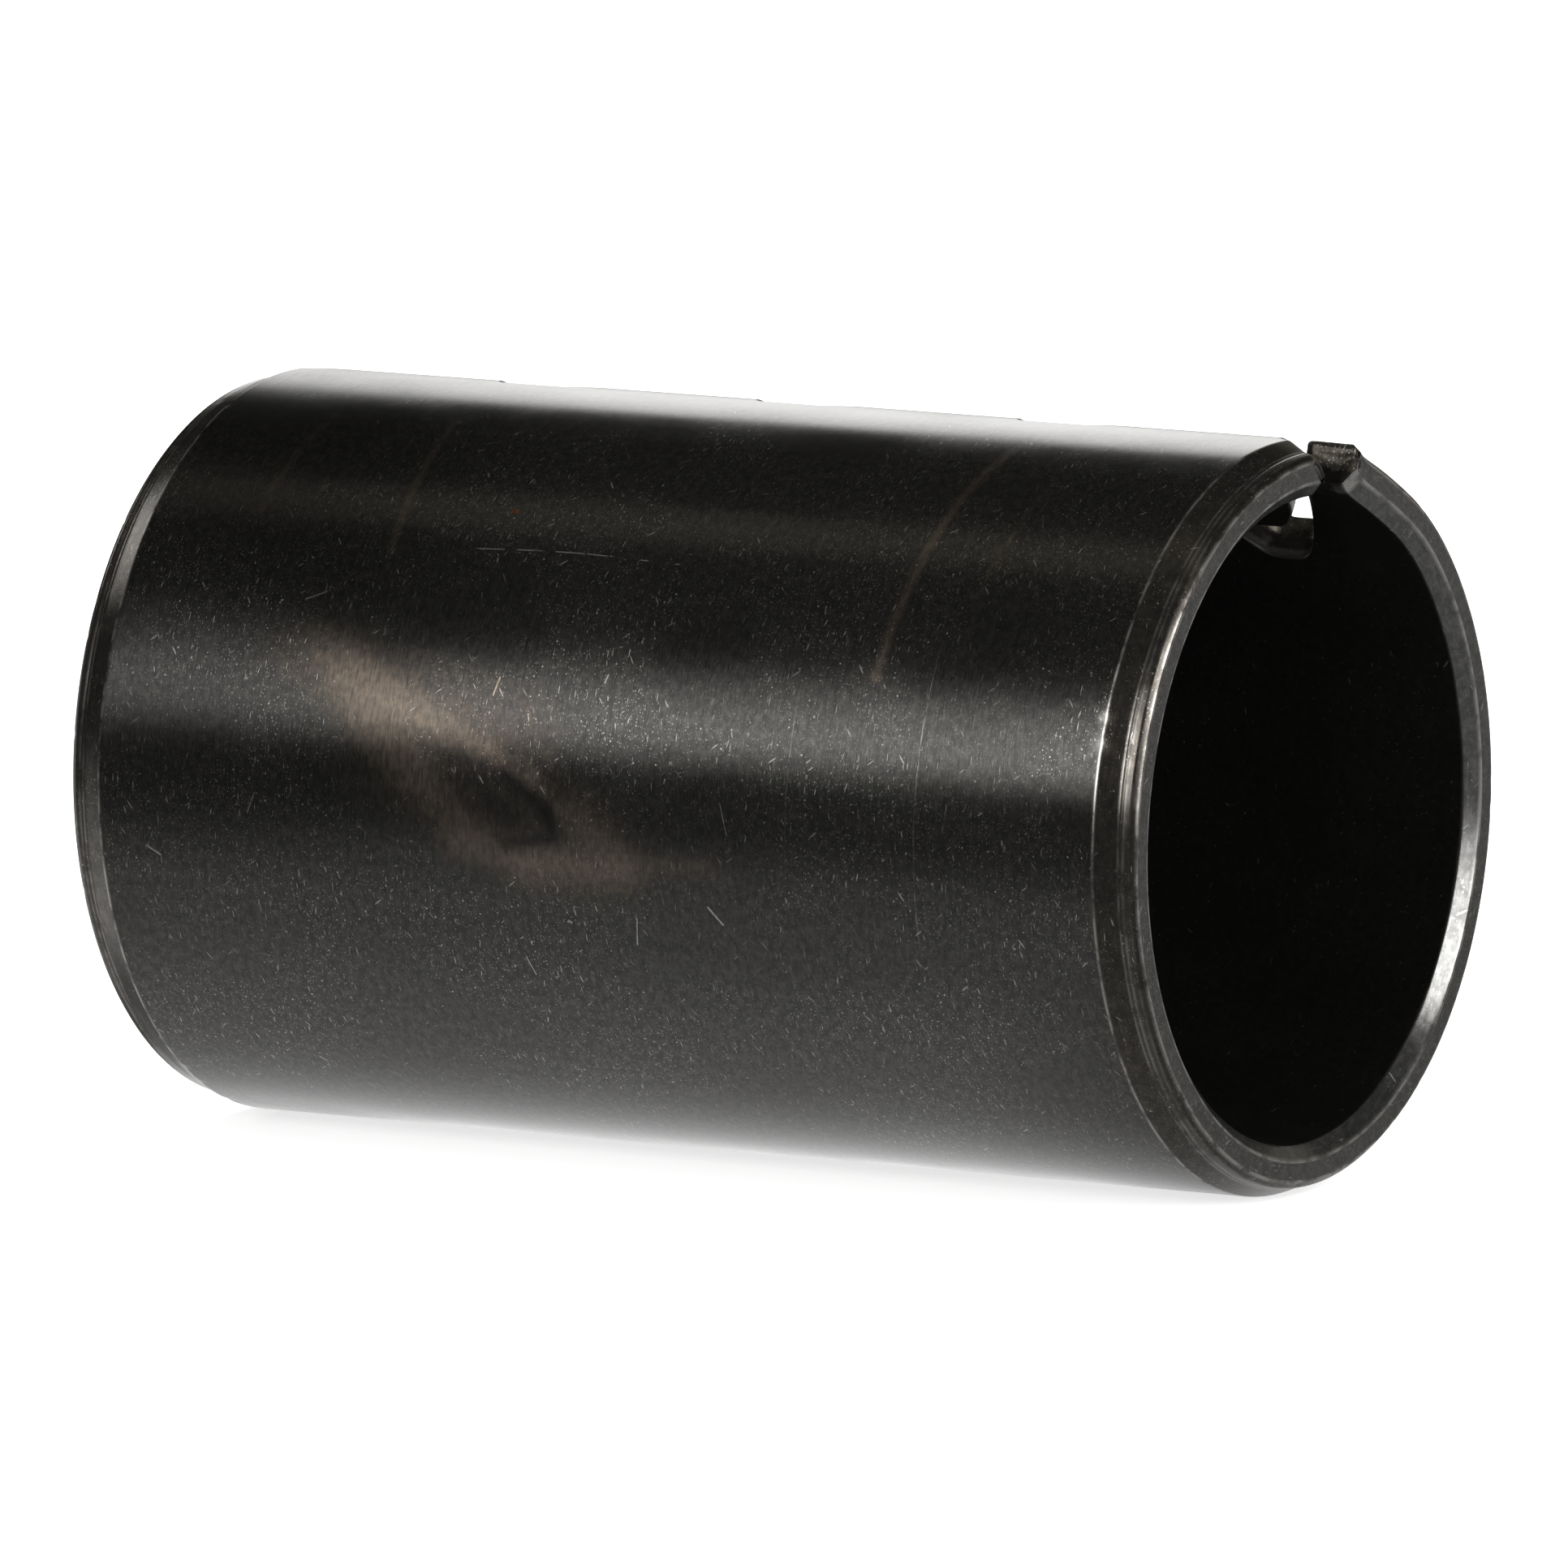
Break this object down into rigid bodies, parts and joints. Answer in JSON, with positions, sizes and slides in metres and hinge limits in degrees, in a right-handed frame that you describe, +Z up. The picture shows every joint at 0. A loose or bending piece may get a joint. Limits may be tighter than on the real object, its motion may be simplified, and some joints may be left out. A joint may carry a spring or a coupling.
{
  "type": "split sleeve collar",
  "caption": "Round steel sleeve rolled from one strip, with a wavy open seam along it and chamfered ends, pressed into a housing as a collar or bush.",
  "frame": {"origin": "centre of the bore at mid-length", "axes": "+X along the bore axis towards the end with the sprung tab, +Z up towards the seam when the sleeve lies on its side"},
  "size_m": [0.057, 0.035, 0.035],
  "materials": {
    "black_oxide_steel": "black oxide, oiled, ground on the outside"
  },
  "bodies": {
    "root": {"split_sleeve": "black_oxide_steel"}
  },
  "joints": []
}
